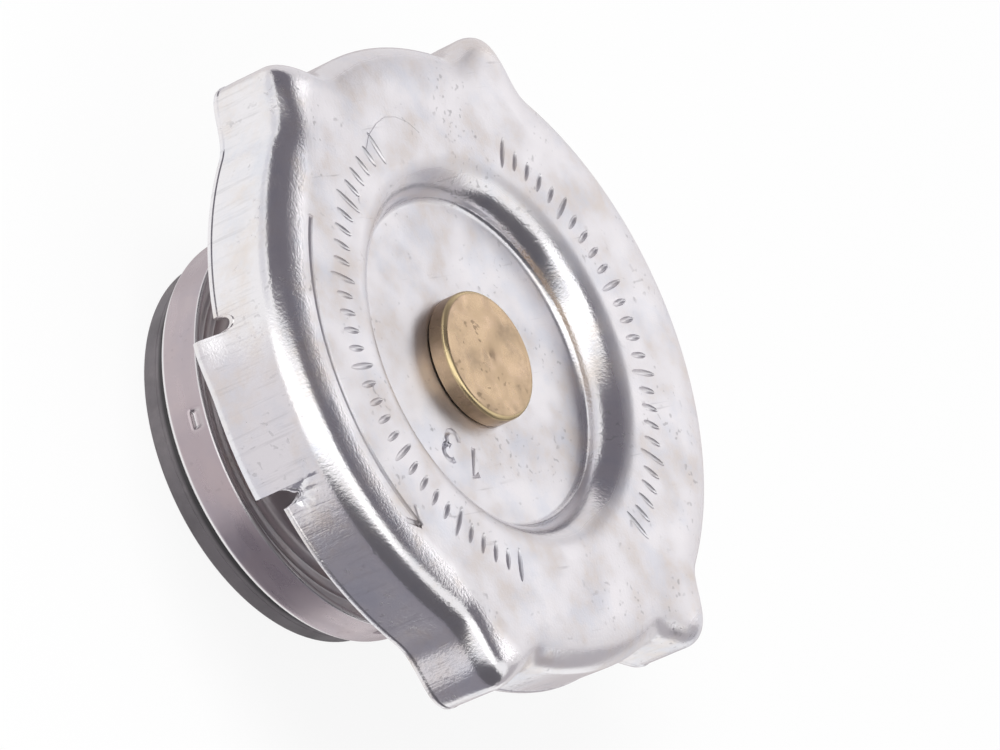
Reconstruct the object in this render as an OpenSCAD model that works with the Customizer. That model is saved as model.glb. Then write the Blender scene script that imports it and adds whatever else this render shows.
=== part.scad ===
// Radiator pressure cap with a bayonet shell, a swivelling valve carrier,
// a spring-loaded pressure valve and a vacuum valve.
// Units are millimetres. Z = 0 is the sealing face of the gasket, +Z points
// out of the cap's face, and +X points through one of the two locking lugs.

/* [Shell] */
// Outer radius of the skirt on the two lug sides
shell_r = 32.7; // [32:0.1:34]
// Outer radius of the skirt on the two sides between the lugs
short_r = 32.1; // [31.2:0.1:33.4]
// Height of the cap's flat face above the sealing face
face_z = 28.2; // [27.4:0.1:29.4]
// Thickness of the pressed sheet
sheet = 0.8; // [0.6:0.05:1]
// Outer radius of the bend between the face and the skirt
shoulder_r = 2.7; // [2.2:0.1:3.2]
// Height of the skirt below the face
skirt_h = 8.6; // [7.6:0.1:9.6]
// Height of the bevel that trimming leaves on the skirt's edge
bevel_h = 0.5; // [0.3:0.05:0.7]

/* [Gripping ears] */
// Distance that an ear stands out of the skirt
ear_out = 3.9; // [2.5:0.1:4.8]
// Angle from the lug axis to the middle of an ear
ear_angle = 60.5; // [57:0.5:64]
// Angle from the middle of an ear to where it runs out into the skirt
ear_w = 12.7; // [11:0.1:14]

/* [Recess] */
// Depth of the recess below the face
recess_depth = 3.5; // [3.2:0.1:4.2]
// Radius of the recess floor up to its corner
floor_r = 16.2; // [15.4:0.1:17]
// Radius of the bend at the edge of the recess floor
floor_bend = 0.8; // [0.6:0.05:1.1]
// Radius of the bend at the lip of the recess
lip_bend = 3.85; // [3.3:0.05:4.2]

/* [Locking lugs] */
// Half of the angle that a lug covers
lug_half = 14; // [10:0.5:16]
// Drop of a lug's underside below the skirt's edge
lug_drop = 2.7; // [2:0.1:3.5]
// Reach of a lug inwards from the skirt's outside
lug_reach = 4.2; // [3.2:0.1:4.8]
// Outer radius of a lug's bend
lug_bend = 1.3; // [1.1:0.1:1.6]
// Angle that a relief notch beside a lug covers
notch_w = 3.2; // [2.4:0.2:5]
// Height of a relief notch above the skirt's edge
notch_h = 1.8; // [1:0.1:2.2]

/* [Swivel rivet] */
// Radius of the rivet's shank
rivet_r = 3.2; // [2.8:0.1:3.6]
// Radius of the rivet's head
head_r = 6.65; // [5.6:0.05:7.4]
// Thickness of the rivet's head
head_h = 2.2; // [1.7:0.05:2.4]
// Radius of the rounded edge of the head
head_round = 0.5; // [0.2:0.05:0.8]
// Radius of the closed end under the bell
peen_r = 4.7; // [4.3:0.1:5.2]
// Height of the closed end
peen_h = 1.1; // [0.8:0.1:1.4]

/* [Spring disc] */
// Outer radius of the disc
disc_r = 28.4; // [27:0.1:29.4]
// Thickness of the disc
disc_t = 0.5; // [0.3:0.05:0.6]
// Radius of the disc's flat middle
disc_flat_r = 14; // [12:0.5:17]
// Drop of the disc's edge below its middle
disc_dish = 0.9; // [0.4:0.1:1.2]

/* [Bell] */
// Thickness of the bell's sheet
bell_t = 0.7; // [0.5:0.05:0.8]
// Outer radius of the bell's crown
crown_r = 10.6; // [10.4:0.1:11]
// Outer radius of the bell's lower step
step_r = 14.6; // [13.5:0.1:15.5]
// Radius of the bell's flange
flange_r = 19.9; // [19.8:0.05:20]
// Height of the upper side of the bell's step above the flange
step_h = 6.2; // [5:0.1:7]

/* [Valve cup] */
// Outer radius of the cup's wall
cup_r = 21; // [20.9:0.05:21.2]
// Height of the cup's wall from its underside to its rim
cup_h = 4.85; // [4.6:0.05:5.2]
// Thickness of the cup's sheet
cup_t = 0.6; // [0.5:0.05:0.65]
// Outer radius of the cup's corner
cup_bend = 0.9; // [0.8:0.05:1.2]
// Number of stakes that keep the bell in the cup
stakes = 4; // [3:1:6]
// Width of a stake
stake_w = 1.9; // [1.4:0.1:2.4]
// Angle of the first stake from the lug axis
stake_turn = -9; // [-30:0.5:30]
// Lift of the pressure valve
valve_lift = 1.5; // [1:0.1:1.6]

/* [Gasket] */
// Outer radius of the gasket
gasket_r = 19.8; // [19.4:0.05:20.1]
// Thickness of the gasket's sealing ring
gasket_t = 3.1; // [3:0.05:3.4]
// Inner radius of the sealing ring
seal_inner_r = 14; // [13.5:0.1:15]
// Thickness of the gasket's clamped web
web_t = 1.35; // [1.2:0.05:1.45]

/* [Retainer] */
// Outer radius of the retainer's neck
neck_r = 5.95; // [5.8:0.05:6.1]
// Thickness of the retainer's sheet
retainer_t = 0.5; // [0.4:0.05:0.55]
// Radius of the lip that is turned over inside the cup
turned_r = 7; // [6.8:0.05:7.05]
// Radius of the vacuum port
port_r = 2.3; // [2:0.1:2.5]

/* [Vacuum valve] */
// Radius of the vacuum valve's disc
vac_r = 4.5; // [4.2:0.1:4.8]
// Thickness of that disc
vac_t = 0.6; // [0.5:0.05:0.7]
// Thickness of the rubber washer on the disc
seal_t = 0.8; // [0.6:0.05:0.9]
// Radius of the stem
stem_r = 1.2; // [1:0.05:1.4]
// Radius of the keeper
keeper_r = 3.6; // [3.5:0.05:3.9]
// Thickness of the keeper
keeper_t = 0.45; // [0.3:0.05:0.6]
// Travel of the vacuum valve
vac_travel = 1.2; // [0.8:0.1:1.2]

/* [Coils] */
// Mean radius of the main spring
main_r = 8.3; // [8.2:0.05:8.4]
// Wire diameter of the main spring
main_wire = 1.5; // [1.2:0.1:1.7]
// Turns of the main spring
main_turns = 6; // [5:0.5:7]
// Mean radius of the vacuum spring
light_r = 2.95; // [2.9:0.05:3.1]
// Wire diameter of the vacuum spring
light_wire = 0.5; // [0.4:0.05:0.6]
// Turns of the vacuum spring
light_turns = 5; // [4:0.5:5.5]
// Room that the vacuum spring keeps between its turns when the valve is open
light_spare = 0.2; // [0.1:0.05:0.4]

/* [Hidden] */
$fn = 96;

// Named clearances
swivel_clear = 0.05;
play = 0.1;
seat_gap = 0.05;
push_clear = 0.02;
lift_clear = 0.3;
eps = 0.01;

// How far a lug's upright part lies inside the skirt's sheet, and its end inside the skirt's cut
lug_skin = 0.06;
lug_side = 0.15;

// Small sizes of a stake: side cut, metal left above its window, overlap on the flange, step inside the wall
stake_cut = 0.2;
stake_margin = 0.5;
stake_bite = 0.5;
stake_skin = 0.05;

// Levels, worked out from the face downwards and from the sealing face upwards
floor_z = face_z - recess_depth;
skirt_z = face_z - skirt_h;
lug_z = skirt_z - lug_drop;
disc_top = floor_z - sheet - play;
bell_top = disc_top - disc_t;
cup_floor = gasket_t + cup_t;
cup_rim = gasket_t + cup_h;
flange_z = cup_floor + valve_lift + lift_clear;
stake_z = flange_z + bell_t + seat_gap;
window_z = stake_z - stake_cut;
window_top = cup_rim - stake_margin;
stake_root = cup_rim - stake_margin / 2;
lip_z = cup_floor + retainer_t;
vac_seat = lip_z - retainer_t;
vac_top = vac_seat - seat_gap;
vac_disc_top = vac_top - seal_t;
light_h = (light_turns + 1) * light_wire + vac_travel + light_spare;
keeper_z = lip_z + light_h;

// Where the round middle of the shell meets its rim, on the flat of the face
join_flat = 4.8;
join_lap = 1.2;
bends = floor_bend + lip_bend;
bend_turn = bends > recess_depth ? acos(1 - recess_depth / bends) : 90;
lip_end = floor_r + bends * sin(bend_turn);
join_r = lip_end + join_flat;

// Points of an arc about c from angle a to angle b
function arc(c, r, a, b, n) = [for (i = [0:n]) c + r * [cos(a + (b - a) * i / n), sin(a + (b - a) * i / n)]];

// Angle from the nearer lug axis, from 0 to 90
function from_lug(a) = let (m = abs(((a + 540) % 360) - 180)) min(m, 180 - m);

// A smooth step from 0 to 1
function ease(u) = (1 - cos(180 * min(1, max(0, u)))) / 2;

// Outer radius of the shell at angle a: two arcs with an ear where they meet, soft at its foot
ear_soft = 1.5;
function wall_r(a) =
    let (m = from_lug(a), u = (m - ear_angle) / ear_w)
    shell_r + (short_r - shell_r) * ease((u + 1) / 2) + ear_out * pow(1 - ease(abs(u)), ear_soft);

// Height of the sheet's lower edge at angle a: lug, relief notch, then skirt
function notch_edge(u) = skirt_z + notch_h * sqrt(max(0, 1 - u * u));
function edge_z(a) =
    let (m = from_lug(a))
    m <= lug_half + eps ? lug_z + lug_bend
    : m < lug_half + notch_w ? notch_edge((m - lug_half) / notch_w * 2 - 1)
    : skirt_z;
function edge_bevel(a) = from_lug(a) <= lug_half + eps ? 0 : sheet / 2;

// Angles of the rim's sections in one quarter, close together where the edge or the wall turns
notch_at = [0.03, 0.12, 0.3, 0.5, 0.7, 0.88, 0.97, 1];
side_steps = 6;
ear_steps = 16;
end_steps = 4;
ear_start = ear_angle - ear_w;
ear_end = ear_angle + ear_w;
notch_end = lug_half + notch_w;
quarter = concat(
    [for (i = [0:3]) lug_half * i / 3],
    [for (u = notch_at) lug_half + notch_w * u],
    [for (i = [1:side_steps]) notch_end + (ear_start - notch_end) * i / side_steps],
    [for (i = [1:ear_steps]) ear_start + 2 * ear_w * i / ear_steps],
    [for (i = [1:end_steps]) ear_end + (90 - ear_end) * i / end_steps]);
last = len(quarter) - 1;
half_turn = concat(quarter, [for (i = [last - 1:-1:1]) 180 - quarter[i]]);
rim_angles = concat(half_turn, [for (a = half_turn) a + 180]);

// One closed section of the rim at angle a, as [radius, height] points
function rim_section(a) =
    let (w = wall_r(a), e = edge_z(a), inner = join_r - join_lap, under = face_z - sheet,
         bend = [w - shoulder_r, face_z - shoulder_r])
    concat(
        [[inner, face_z]],
        arc(bend, shoulder_r, 90, 0, 6),
        [[w, e + bevel_h], [w - edge_bevel(a), e], [w - sheet, e]],
        arc(bend, shoulder_r - sheet, 0, 90, 5),
        [[inner, under]]);

// A closed solid through sections that all have the same number of points
module ring_solid(angles, sections) {
    n = len(sections[0]);
    m = len(sections);
    points = [for (i = [0:m - 1]) for (p = sections[i]) [p.x * cos(angles[i]), p.x * sin(angles[i]), p.y]];
    faces = [for (i = [0:m - 1]) for (j = [0:n - 1])
        let (k = (i + 1) % m, l = (j + 1) % n)
        each [[i * n + j, k * n + l, i * n + l], [i * n + j, k * n + j, k * n + l]]];
    polyhedron(points, faces, convexity = 8);
}

// The recess and the inner part of the face, as one revolved sheet. Two bends that meet make the recess wall.
module pressed_middle() {
    corner = [floor_r, floor_z + floor_bend];
    lip = [lip_end, face_z - lip_bend];
    rotate_extrude() polygon(concat(
        [[0, floor_z]],
        arc(corner, floor_bend, -90, bend_turn - 90, 6),
        arc(lip, lip_bend, bend_turn + 90, 90, 10),
        [[join_r, face_z], [join_r, face_z - sheet]],
        arc(lip, lip_bend - sheet, 90, bend_turn + 90, 10),
        arc(corner, floor_bend + sheet, bend_turn - 90, -90, 6),
        [[0, floor_z - sheet]]));
}

// A lug's bend and flange, whose upright part reaches up inside the skirt's sheet
module lug_hook() {
    root_h = 1.2;
    outside = shell_r - lug_skin;
    inside = shell_r - sheet + lug_skin;
    bend = [shell_r - lug_bend, lug_z + lug_bend];
    tip = shell_r - lug_reach;
    half = lug_half - lug_side;
    rotate([0, 0, -half]) rotate_extrude(angle = 2 * half) polygon(concat(
        [[outside, bend.y + root_h], [inside, bend.y + root_h]],
        arc(bend, inside - bend.x, 0, -90, 4),
        [[tip, bend.y - inside + bend.x], [tip, bend.y - outside + bend.x]],
        arc(bend, outside - bend.x, -90, 0, 6)));
}

module shell() color("silver") {
    bore_r = rivet_r + swivel_clear;
    difference() {
        union() {
            pressed_middle();
            ring_solid(rim_angles, [for (a = rim_angles) rim_section(a)]);
            for (turn = [0, 180]) rotate([0, 0, turn]) lug_hook();
        }
        translate([0, 0, floor_z - 2 * sheet]) cylinder(r = bore_r, h = 3 * sheet);
    }
}

module rivet() color("goldenrod") {
    under_head = floor_z + play;
    top = under_head + head_h;
    peen_top = bell_top - bell_t;
    peen_round = peen_h / 2;
    rotate_extrude() polygon(concat(
        [[0, top]],
        arc([head_r - head_round, top - head_round], head_round, 90, 0, 6),
        [[head_r, under_head + head_round / 2], [head_r - head_round / 2, under_head],
         [rivet_r, under_head], [rivet_r, peen_top], [peen_r, peen_top]],
        arc([peen_r - peen_round, peen_top - peen_round], peen_round, 0, -90, 5),
        [[0, peen_top - peen_h]]));
}

module spring_disc() color("lightsteelblue") {
    dish_mid = (disc_flat_r + disc_r) / 2;
    mid_share = 0.4;
    top = [[disc_flat_r, disc_top], [dish_mid, disc_top - disc_dish * mid_share], [disc_r, disc_top - disc_dish]];
    rotate_extrude() polygon(concat(
        [[rivet_r + push_clear, disc_top]],
        top,
        [for (i = [2:-1:0]) top[i] - [0, disc_t]],
        [[rivet_r + push_clear, disc_top - disc_t]]));
}

// Outside line of the bell from the rivet hole to the flange's rim, moved inwards by d
function bell_line(d) =
    let (crown_bend = 1.6, step_bend = 1.2, foot_bend = 1, taper = 0.5,
         top = bell_top - d, crown = crown_r - d, step = step_r - d,
         step_top = flange_z + bell_t + step_h - d, foot = flange_z + bell_t - d)
    concat(
        [[rivet_r + push_clear, top]],
        arc([crown_r - crown_bend, bell_top - crown_bend], crown_bend - d, 90, 0, 5),
        arc([crown_r + taper + foot_bend, step_top + d + foot_bend], foot_bend + d, 180, 270, 4),
        arc([step_r - step_bend, step_top + d - step_bend], step_bend - d, 90, 0, 4),
        arc([step_r + taper + foot_bend, foot + d + foot_bend], foot_bend + d, 180, 270, 4),
        [[flange_r, foot]]);

module bell() color("darkgray") {
    outside = bell_line(0);
    inside = bell_line(bell_t);
    rotate_extrude() polygon(concat(outside, [for (i = [len(inside) - 1:-1:0]) inside[i]]));
}

// A coil with flat end turns, swept along a rule
module coil(radius, wire, turns, low, high, sides, per_turn) {
    steps = ceil(turns * per_turn);
    rise = high - low - wire;
    closed = 1 / turns;
    slow = 0.4;
    function climb(u) = u < closed ? slow * u * u / closed : u > 1 - closed ? 1 - slow * (1 - u) * (1 - u) / closed
        : slow * closed + (1 - 2 * slow * closed) * (u - closed) / (1 - 2 * closed);
    points = [for (i = [0:steps]) let (u = i / steps, a = 360 * turns * u, z = low + wire / 2 + rise * climb(u))
        for (j = [0:sides - 1]) let (t = 360 * j / sides + 180 / sides, r = radius + wire / 2 * cos(t))
            [r * cos(a), r * sin(a), z + wire / 2 * sin(t)]];
    skin = [for (i = [0:steps - 1]) for (j = [0:sides - 1])
        let (p = i * sides + j, q = i * sides + (j + 1) % sides)
        each [[p, q, q + sides], [p, q + sides, p + sides]]];
    first = [for (j = [sides - 1:-1:0]) j];
    end = [for (j = [0:sides - 1]) steps * sides + j];
    polyhedron(points, concat(skin, [first, end]), convexity = 10);
}

module main_spring() color("slategray")
    coil(main_r, main_wire, main_turns, cup_floor + seat_gap, bell_top - bell_t, 8, 22);

module vacuum_spring() color("slategray")
    coil(light_r, light_wire, light_turns, lip_z, keeper_z - seat_gap, 6, 14);

// A stake: a tongue cut out of the cup's wall and bent inwards over the bell's flange
module stake_window() {
    translate([cup_r - 2 * cup_t, -stake_w / 2, window_z]) cube([3 * cup_t, stake_w, window_top - window_z]);
}

module stake() {
    inside = cup_r - cup_t;
    tip = flange_r - stake_bite;
    tongue_w = stake_w - 2 * stake_cut;
    translate([0, tongue_w / 2, 0]) rotate([90, 0, 0]) linear_extrude(tongue_w) polygon([
        [inside + stake_skin, stake_root], [cup_r - stake_skin, stake_root],
        [cup_r - stake_skin, window_top - stake_skin],
        [tip + cup_t, stake_z], [tip, stake_z], [inside + stake_skin, window_top - stake_cut]]);
}

module valve_cup() color("rosybrown") {
    corner = [cup_r - cup_bend, gasket_t + cup_bend];
    hole_r = neck_r + seat_gap;
    difference() {
        rotate_extrude() polygon(concat(
            [[hole_r, gasket_t]],
            arc(corner, cup_bend, -90, 0, 6),
            [[cup_r, cup_rim], [cup_r - cup_t, cup_rim]],
            arc(corner, cup_bend - cup_t, 0, -90, 4),
            [[hole_r, cup_floor]]));
        for (i = [0:stakes - 1]) rotate([0, 0, stake_turn + 360 * i / stakes]) stake_window();
    }
    for (i = [0:stakes - 1]) rotate([0, 0, stake_turn + 360 * i / stakes]) stake();
}

module pressure_gasket() color("dimgray") {
    edge = 0.35;
    web_z = gasket_t - web_t;
    hole_r = neck_r + seat_gap;
    rotate_extrude() polygon([
        [hole_r, web_z], [seal_inner_r, web_z], [seal_inner_r, edge], [seal_inner_r + edge, 0],
        [gasket_r - edge, 0], [gasket_r, edge], [gasket_r, gasket_t - edge], [gasket_r - edge, gasket_t],
        [hole_r, gasket_t]]);
}

module gasket_retainer() color("peru") {
    clamp_top = gasket_t - web_t;
    clamp_r = seal_inner_r - lift_clear;
    bore_r = neck_r - retainer_t;
    curl = 0.25;
    rotate_extrude() polygon([
        [port_r, vac_seat], [bore_r, vac_seat], [bore_r, clamp_top - retainer_t],
        [clamp_r - curl, clamp_top - retainer_t], [clamp_r, clamp_top - retainer_t + curl], [clamp_r, clamp_top],
        [neck_r, clamp_top], [neck_r, cup_floor], [turned_r, cup_floor], [turned_r, lip_z - curl],
        [turned_r - curl, lip_z], [port_r, lip_z]]);
}

module vacuum_valve() color("gold") {
    low = vac_disc_top - vac_t;
    stem_end = 0.8;
    tip = keeper_z + keeper_t + stem_end;
    round = 0.3;
    rotate_extrude() polygon([
        [0, low], [vac_r - round, low], [vac_r, low + round], [vac_r, vac_disc_top], [stem_r, vac_disc_top],
        [stem_r, tip - round], [stem_r - round, tip], [0, tip]]);
}

module vacuum_seal() color("black") {
    bead = 0.2;
    rotate_extrude() polygon([
        [stem_r + push_clear, vac_disc_top], [vac_r - bead, vac_disc_top], [vac_r - bead, vac_top - bead],
        [vac_r - 2 * bead, vac_top], [stem_r + push_clear, vac_top]]);
}

module vacuum_keeper() color("khaki") {
    rim_up = 0.5;
    rim_w = 0.4;
    fold = 0.1;
    flat_r = keeper_r - rim_w;
    rotate_extrude() polygon([
        [stem_r + push_clear, keeper_z], [flat_r, keeper_z], [keeper_r, keeper_z + rim_up],
        [keeper_r, keeper_z + rim_up + keeper_t], [flat_r - fold, keeper_z + keeper_t],
        [stem_r + push_clear, keeper_z + keeper_t]]);
}

shell();
rivet();
spring_disc();
bell();
main_spring();
valve_cup();
pressure_gasket();
gasket_retainer();
vacuum_valve();
vacuum_seal();
vacuum_spring();
vacuum_keeper();
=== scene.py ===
# %% [markdown]
# # Dressing a radiator pressure cap
# The solid model of the cap is already packed as a frame of named nodes. This lesson keeps
# that frame as it is and gives it its looks: plated sheet metal, brass, tinned cup and rubber.
# A finer mesh replaces a solid wherever the eye would see its facets, and everything stays in
# the frame's own place, so no piece ever has to be fitted by hand.

# %% Load the frame
import math

import bmesh
import bpy
import numpy as np
from mathutils import Matrix, Vector, noise


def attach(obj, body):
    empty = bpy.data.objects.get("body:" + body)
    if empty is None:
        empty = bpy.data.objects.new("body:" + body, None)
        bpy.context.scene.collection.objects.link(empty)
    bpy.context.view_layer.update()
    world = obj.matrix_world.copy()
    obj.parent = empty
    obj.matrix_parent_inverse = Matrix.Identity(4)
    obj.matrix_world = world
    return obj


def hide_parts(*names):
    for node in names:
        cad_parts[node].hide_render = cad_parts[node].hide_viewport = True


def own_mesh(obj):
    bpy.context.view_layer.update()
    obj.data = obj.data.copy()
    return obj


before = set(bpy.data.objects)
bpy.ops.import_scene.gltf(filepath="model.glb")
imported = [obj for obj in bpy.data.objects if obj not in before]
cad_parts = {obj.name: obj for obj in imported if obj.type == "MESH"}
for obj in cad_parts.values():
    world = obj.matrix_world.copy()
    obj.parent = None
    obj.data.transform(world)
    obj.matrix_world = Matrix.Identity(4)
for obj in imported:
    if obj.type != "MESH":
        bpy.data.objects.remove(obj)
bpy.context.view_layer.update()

MM = 0.001
scene = bpy.context.scene

# %% [markdown]
# ## The sizes
# The same sizes shape the solids. They are written once here, in millimetres, so that each
# finer piece lands exactly on the solid that it stands for. Heights count from the sealing face.

# %% Sizes of the pressed shell
face_z, sheet, shoulder = 28.2, 0.8, 2.7
shell_r, short_r = 32.7, 32.1
skirt_z, bevel_h = 19.6, 0.5
ear_out, ear_angle, ear_w, ear_soft = 3.9, 60.5, 12.7, 1.5
floor_z, floor_r, floor_bend, lip_bend = 24.7, 16.2, 0.8, 3.85
bends = floor_bend + lip_bend
bend_turn = math.degrees(math.acos(1 - (face_z - floor_z) / bends))
lip_end = floor_r + bends * math.sin(math.radians(bend_turn))
lug_half, lug_z, lug_reach, lug_bend = 14.0, 16.9, 4.2, 1.3
notch_w, notch_h = 3.2, 1.8
bore_r = 3.25
print(f"lip of the recess ends at radius {lip_end:.1f} mm")


# %% Small helpers
def arc(centre, radius, start, end, steps):
    """Points of an arc in the (radius, height) plane, angles in degrees."""
    angles = [math.radians(start + (end - start) * i / steps) for i in range(steps + 1)]
    return [(centre[0] + radius * math.cos(a), centre[1] + radius * math.sin(a)) for a in angles]


def steps_to(start, end, count):
    return [start + (end - start) * i / count for i in range(1, count + 1)]


def new_piece(name, mesh):
    piece = bpy.data.objects.new(name, mesh)
    scene.collection.objects.link(piece)
    return piece


def tidy_mesh(mesh, sharp_deg=35):
    """Merges doubled points, drops faces without area, turns normals outwards and sets the shading."""
    bm = bmesh.new()
    bm.from_mesh(mesh)
    bmesh.ops.remove_doubles(bm, verts=bm.verts, dist=2e-6)
    bmesh.ops.dissolve_degenerate(bm, edges=bm.edges, dist=1e-6)
    bmesh.ops.recalc_face_normals(bm, faces=bm.faces)
    bm.to_mesh(mesh)
    bm.free()
    mesh.shade_smooth()
    mesh.set_sharp_from_angle(angle=math.radians(sharp_deg))


def plain_mesh(source):
    """The evaluated shape of an object as a plain mesh; the source object is removed."""
    bpy.context.view_layer.update()
    depsgraph = bpy.context.evaluated_depsgraph_get()
    mesh = bpy.data.meshes.new_from_object(source.evaluated_get(depsgraph))
    bpy.data.objects.remove(source)
    return mesh


def points_mm(mesh):
    """All points of a mesh as an array, in mm."""
    flat = np.empty(len(mesh.vertices) * 3, np.float32)
    mesh.vertices.foreach_get("co", flat)
    return flat.reshape(-1, 3).astype(float) / MM


def set_points_mm(mesh, points):
    mesh.vertices.foreach_set("co", (points * MM).astype(np.float32).ravel())
    mesh.update()


def mark_points(mesh, label, values):
    """Writes one value on each point, for a node tree or a finish to read."""
    marks = mesh.attributes.new(label, "FLOAT", "POINT")
    marks.data.foreach_set("value", np.asarray(values, np.float32))


def ring_faces(columns, rows):
    """Quads of a closed strip of columns, each a closed line of rows."""
    faces = []
    for i in range(columns):
        beside = (i + 1) % columns
        for j in range(rows):
            after = (j + 1) % rows
            faces.append((i * rows + j, beside * rows + j, beside * rows + after, i * rows + after))
    return faces


def lathe(name, outline, around=192, sharp_deg=35, wear_and_light=None):
    """A closed (radius, height) outline in mm, turned once round the axis.

    worn gives rows of the outline a share of wear and painted light, kept as edge_wear_and_painted_light: a
    painted highlight on metal edges, painted shade on rubber.
    """
    angles = [2 * math.pi * i / around for i in range(around)]
    points = [(r * MM * math.cos(a), r * MM * math.sin(a), z * MM) for a in angles for r, z in outline]
    mesh = bpy.data.meshes.new(name)
    mesh.from_pydata(points, [], ring_faces(around, len(outline)))
    shares = [(wear_and_light or {}).get(j, 0.0) for j in range(len(outline))]
    mark_points(mesh, "edge_wear_and_painted_light", np.tile(shares, around))
    tidy_mesh(mesh, sharp_deg)
    return new_piece(name, mesh)


# %% [markdown]
# ## Shader groups for the finishes
# Several finishes share the same effects: cloudy plating, scratches, a fine grain and small pits.
# Each effect is built once as a node group with named inputs. A group only gives out colours,
# masks and heights; the shader itself stays in each material, where an exporter can read it.


# %% Building blocks for node trees
def link(tree, value, socket):
    """Joins an output to an input, or sets a plain value on it."""
    if isinstance(value, bpy.types.NodeSocket):
        tree.links.new(value, socket)
    else:
        socket.default_value = value


def math_node(tree, operation, *values):
    node = tree.nodes.new("ShaderNodeMath")
    node.operation = operation
    for value, socket in zip(values, node.inputs):
        link(tree, value, socket)
    return node.outputs[0]


def noise_node(tree, vector, scale, detail=3.0, roughness=0.5):
    node = tree.nodes.new("ShaderNodeTexNoise")
    link(tree, vector, node.inputs["Vector"])
    link(tree, scale, node.inputs["Scale"])
    node.inputs["Detail"].default_value = detail
    node.inputs["Roughness"].default_value = roughness
    return node.outputs["Fac"]


def span(tree, value, low, high, to_low=0.0, to_high=1.0):
    """A clamped smooth change from one range to another."""
    node = tree.nodes.new("ShaderNodeMapRange")
    node.interpolation_type = "SMOOTHSTEP"
    ends = {"Value": value, "From Min": low, "From Max": high, "To Min": to_low, "To Max": to_high}
    for label, end in ends.items():
        link(tree, end, node.inputs[label])
    return node.outputs["Result"]


def mix_colour(tree, factor, a, b, blend="MIX"):
    node = tree.nodes.new("ShaderNodeMix")
    node.data_type, node.blend_type = "RGBA", blend
    link(tree, factor, node.inputs[0])
    link(tree, a, node.inputs[6])
    link(tree, b, node.inputs[7])
    return node.outputs[2]


def moved(tree, vector, scale=(1, 1, 1), turn=(0, 0, 0), shift=(0, 0, 0)):
    node = tree.nodes.new("ShaderNodeMapping")
    link(tree, vector, node.inputs["Vector"])
    node.inputs["Scale"].default_value = scale
    node.inputs["Rotation"].default_value = [math.radians(t) for t in turn]
    node.inputs["Location"].default_value = shift
    return node.outputs[0]


def shade(colour, share=1.0):
    """A colour for a node, made darker to a share of itself."""
    return (*[share * c for c in colour], 1)


def new_group(name, inputs, outputs):
    """A shader group with its sockets; returns the tree and the two ends."""
    tree = bpy.data.node_groups.new(name, "ShaderNodeTree")
    for label, kind, value in inputs:
        socket = tree.interface.new_socket(label, in_out="INPUT", socket_type=kind)
        if value is not None:
            socket.default_value = value
    for label, kind in outputs:
        tree.interface.new_socket(label, in_out="OUTPUT", socket_type=kind)
    return tree, tree.nodes.new("NodeGroupInput"), tree.nodes.new("NodeGroupOutput")


VECTOR, FLOAT, COLOUR = "NodeSocketVector", "NodeSocketFloat", "NodeSocketColor"


# %% Cloudy plating
def cloudy_plating():
    """Three close tints that drift into each other, as plating does with age and handling."""
    tree, start, end = new_group(
        "cloudy_plating",
        [("Vector", VECTOR, None), ("Scale", FLOAT, 120.0), ("Main", COLOUR, (0.6, 0.6, 0.6, 1)),
         ("Warm", COLOUR, (0.6, 0.55, 0.5, 1)), ("Cool", COLOUR, (0.5, 0.55, 0.6, 1))],
        [("Colour", COLOUR)])
    vector, scale = start.outputs["Vector"], start.outputs["Scale"]
    warm = noise_node(tree, vector, scale, 6.0, 0.62)
    cool = noise_node(tree, moved(tree, vector, shift=(0.31, 0.17, 0.05)), scale, 6.0, 0.62)
    tint = mix_colour(tree, span(tree, warm, 0.46, 0.72), start.outputs["Main"], start.outputs["Warm"])
    tint = mix_colour(tree, span(tree, cool, 0.46, 0.72), tint, start.outputs["Cool"])
    tree.links.new(tint, end.inputs["Colour"])
    return tree


cloudy = cloudy_plating()
print("group:", cloudy.name)


# %% Handling scratches
def handling_scratches():
    """Sparse thin lines in two directions. A noise squeezed along one axis draws long streaks."""
    tree, start, end = new_group(
        "handling_scratches",
        [("Vector", VECTOR, None), ("Density", FLOAT, 0.5)], [("Lines", FLOAT)])
    vector = start.outputs["Vector"]
    lines = None
    for turn, shift in (((0, 0, 24), (0, 0, 0)), ((0, 15, -52), (0.2, 0.1, 0.3))):
        streak = noise_node(tree, moved(tree, vector, (90, 1900, 500), turn, shift), 1.0, 2.0, 0.6)
        patch = noise_node(tree, moved(tree, vector, shift=shift), 150.0, 2.0, 0.5)
        line = math_node(tree, "MULTIPLY", span(tree, streak, 0.66, 0.74), span(tree, patch, 0.5, 0.7))
        lines = line if lines is None else math_node(tree, "MAXIMUM", lines, line)
    tree.links.new(math_node(tree, "MULTIPLY", lines, start.outputs["Density"]), end.inputs["Lines"])
    return tree


scratched = handling_scratches()
print("group:", scratched.name)


# %% Fine grain
def fine_grain():
    """A quiet grain for a bump, with a slower unevenness under it."""
    tree, start, end = new_group(
        "fine_grain",
        [("Vector", VECTOR, None), ("Grain", FLOAT, 2500.0), ("Wave", FLOAT, 220.0),
         ("Wave Share", FLOAT, 0.5)],
        [("Height", FLOAT), ("Uneven", FLOAT)])
    grain = noise_node(tree, start.outputs["Vector"], start.outputs["Grain"], 2.0, 0.6)
    wave = noise_node(tree, start.outputs["Vector"], start.outputs["Wave"], 2.0, 0.5)
    height = math_node(tree, "ADD", grain, math_node(tree, "MULTIPLY", wave, start.outputs["Wave Share"]))
    tree.links.new(height, end.inputs["Height"])
    tree.links.new(wave, end.inputs["Uneven"])
    return tree


grainy = fine_grain()
print("group:", grainy.name)


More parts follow.
